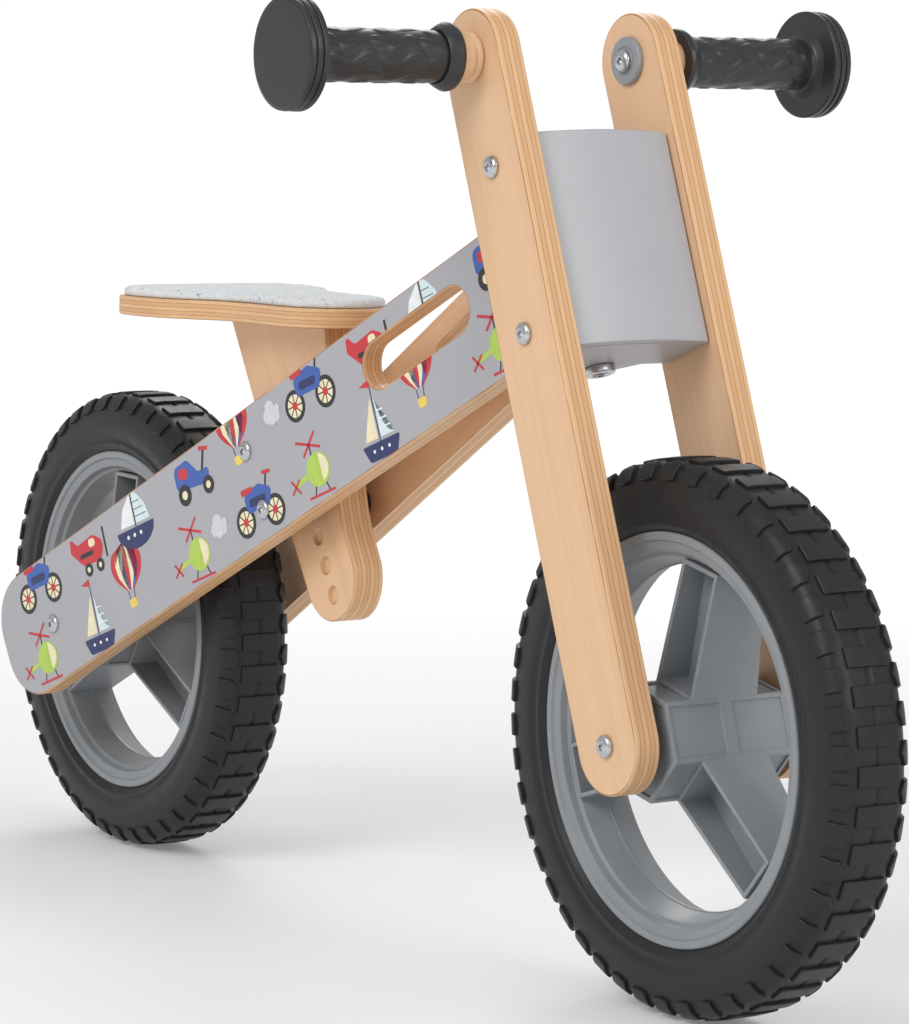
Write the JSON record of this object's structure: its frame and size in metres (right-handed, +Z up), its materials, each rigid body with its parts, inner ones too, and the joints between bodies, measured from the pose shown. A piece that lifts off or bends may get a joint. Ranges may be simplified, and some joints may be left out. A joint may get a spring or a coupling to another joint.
{
  "type": "balance_bike",
  "caption": "Wooden balance bike: leaning plywood frame boards with a carrying slot, a steering plywood fork with flanged grips, foam tyres and a felt saddle",
  "frame": {"origin": "ground level, midway between the two wheel axles, in the bike's middle plane", "axes": "+X the way the bike rolls, +Y to the rider's left, +Z up"},
  "size_m": [0.874, 0.35, 0.5228],
  "materials": {
    "printed_ply": "plywood printed grey with a small pattern, satin",
    "birch": "bare birch plywood, satin varnish",
    "grey_paint": "smooth light grey paint on wood",
    "rim_plastic": "moulded grey nylon, satin",
    "tyre_foam": "solid foam with a moulded tread, matte",
    "grip_rubber": "soft moulded grip, matte",
    "felt": "pale grey felt with small flecks",
    "steel": "zinc plated steel, bright",
    "bush_plastic": "black nylon, satin"
  },
  "bodies": {
    "frame": {"head_block": "birch", "head_bolt_lower": "steel", "head_bolt_upper": "steel", "head_bush_lower": "bush_plastic", "head_bush_upper": "bush_plastic", "head_nut_lower": "steel", "head_nut_upper": "steel", "rear_axle_bolt": "steel", "rear_axle_nut": "steel", "rear_axle_spacer_left": "bush_plastic", "rear_axle_spacer_right": "bush_plastic", "seat_board": "birch", "seat_pad": "felt", "seat_post": "birch", "seat_post_bolt_lower": "steel", "seat_post_bolt_upper": "steel", "seat_post_nut_lower": "steel", "seat_post_nut_upper": "steel", "seat_screw_1": "steel", "seat_screw_2": "steel", "seat_screw_3": "steel", "seat_spacer_lower_left": "bush_plastic", "seat_spacer_lower_right": "bush_plastic", "seat_spacer_upper_left": "bush_plastic", "seat_spacer_upper_right": "bush_plastic", "side_panel_left": "printed_ply", "side_panel_right": "printed_ply"},
    "fork": {"fork_leg_left": "birch", "fork_leg_right": "birch", "front_axle_bolt": "steel", "front_axle_nut": "steel", "front_axle_spacer_left": "bush_plastic", "front_axle_spacer_right": "bush_plastic", "front_plate": "grey_paint", "grip_left": "grip_rubber", "grip_right": "grip_rubber", "handle_cap_left": "rim_plastic", "handle_cap_right": "rim_plastic", "handle_dowel_left": "birch", "handle_dowel_right": "birch", "handle_screw_left": "steel", "handle_screw_right": "steel", "kingpin": "steel", "kingpin_nut": "steel", "leg_bolt_lower_left": "steel", "leg_bolt_lower_right": "steel", "leg_bolt_upper_left": "steel", "leg_bolt_upper_right": "steel", "lower_crosspiece": "grey_paint", "upper_crosspiece": "grey_paint"},
    "front_wheel": {"front_bearing_left": "steel", "front_bearing_right": "steel", "front_rim": "rim_plastic", "front_tyre": "tyre_foam"},
    "rear_wheel": {"rear_bearing_left": "steel", "rear_bearing_right": "steel", "rear_rim": "rim_plastic", "rear_tyre": "tyre_foam"}
  },
  "joints": [
    {"name": "steering", "type": "hinge", "parent": "frame", "child": "fork", "pos_m": [0.27135, 0, 0.13742], "axis": [-0.3445, 0, 0.9388], "range_deg": [-45, 45]},
    {"name": "front_wheel_spin", "type": "hinge", "parent": "fork", "child": "front_wheel", "pos_m": [0.292, 0, 0.145], "axis": [0, 1, 0], "continuous": true},
    {"name": "rear_wheel_spin", "type": "hinge", "parent": "frame", "child": "rear_wheel", "pos_m": [-0.292, 0, 0.145], "axis": [0, 1, 0], "continuous": true}
  ]
}
